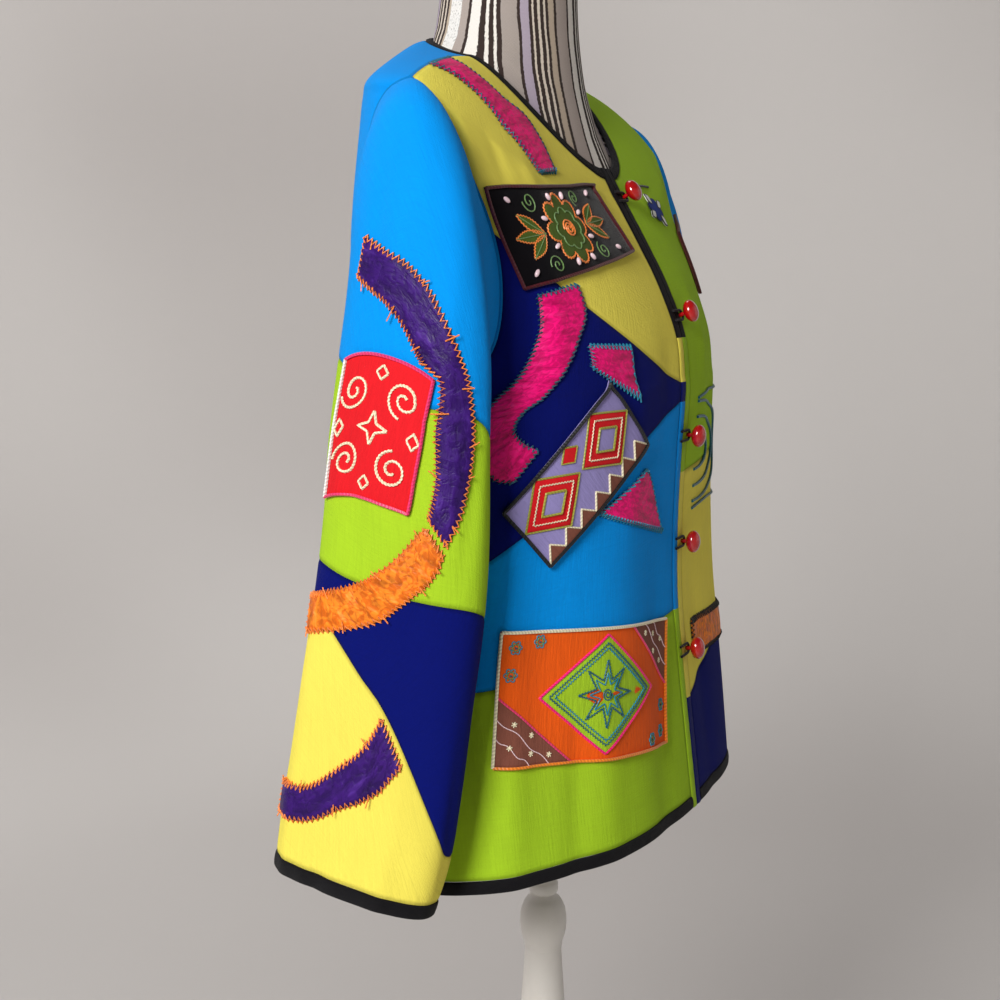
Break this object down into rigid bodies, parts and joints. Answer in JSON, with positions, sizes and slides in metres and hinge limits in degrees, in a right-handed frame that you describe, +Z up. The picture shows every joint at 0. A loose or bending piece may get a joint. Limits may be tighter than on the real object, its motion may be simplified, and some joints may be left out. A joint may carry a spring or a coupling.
{
  "type": "colour-blocked applique jacket on a limbless dress form with a turned stand",
  "caption": "Hip-length collarless jacket in bright colour blocks with satin bands and stitched patches, buttoned with loops, on a limbless dress form with a turned pole and round base.",
  "frame": {"origin": "on the floor, at the centre of the stand base's underside, under the pole", "axes": "+Z up, the wearer faces -Y, the wearer's right hand at -X"},
  "size_m": [0.6092, 0.406, 1.412],
  "materials": {
    "black": "matt woven cotton binding",
    "brown": "matt woven cotton",
    "button_red": "glossy",
    "lavender": "matt woven cotton",
    "lime": "matt woven cotton",
    "magenta": "crinkled satin",
    "navy": "matt woven cotton",
    "orange": "crinkled satin",
    "purple": "crinkled satin",
    "red": "matt felt",
    "ticking": "striped knit cover",
    "turquoise": "matt woven cotton",
    "velvet": "black velvet",
    "white_paint": "white paint on turned wood",
    "yellow": "matt woven cotton"
  },
  "bodies": {
    "root": {"back_navy": "navy", "back_turquoise": "turquoise", "back_yellow": "yellow", "binding_cuff_left": "black", "binding_cuff_right": "black", "binding_front_left": "black", "binding_front_right": "black", "binding_hem": "black", "binding_neck": "black", "button_1": "button_red", "button_2": "button_red", "button_3": "button_red", "button_4": "button_red", "button_5": "button_red", "cross_band_sleeve_left": "orange", "cross_band_sleeve_right": "orange", "dress_form": "ticking", "front_left_lime": "lime", "front_left_navy": "navy", "front_left_yellow": "yellow", "front_right_lime": "lime", "front_right_navy": "navy", "front_right_turquoise": "turquoise", "front_right_yellow": "yellow", "left_front_band": "orange", "loop_1": "black", "loop_2": "black", "loop_3": "black", "loop_4": "black", "loop_5": "black", "low_band_sleeve_left": "purple", "low_band_sleeve_right": "purple", "patch_chest": "velvet", "patch_hip": "orange", "patch_left_chest": "brown", "patch_left_motif": "navy", "patch_sleeve_left": "red", "patch_sleeve_right": "red", "patch_waist": "lavender", "sash_sleeve_left": "purple", "sash_sleeve_right": "purple", "shoulder_band": "magenta", "side_band": "magenta", "sleeve_left_lime": "lime", "sleeve_left_navy": "navy", "sleeve_left_turquoise": "turquoise", "sleeve_left_yellow": "yellow", "sleeve_right_lime": "lime", "sleeve_right_navy": "navy", "sleeve_right_turquoise": "turquoise", "sleeve_right_yellow": "yellow", "stand_base": "white_paint", "stand_pole": "white_paint", "waist_tab": "magenta", "waist_wedge": "magenta"}
  },
  "joints": []
}
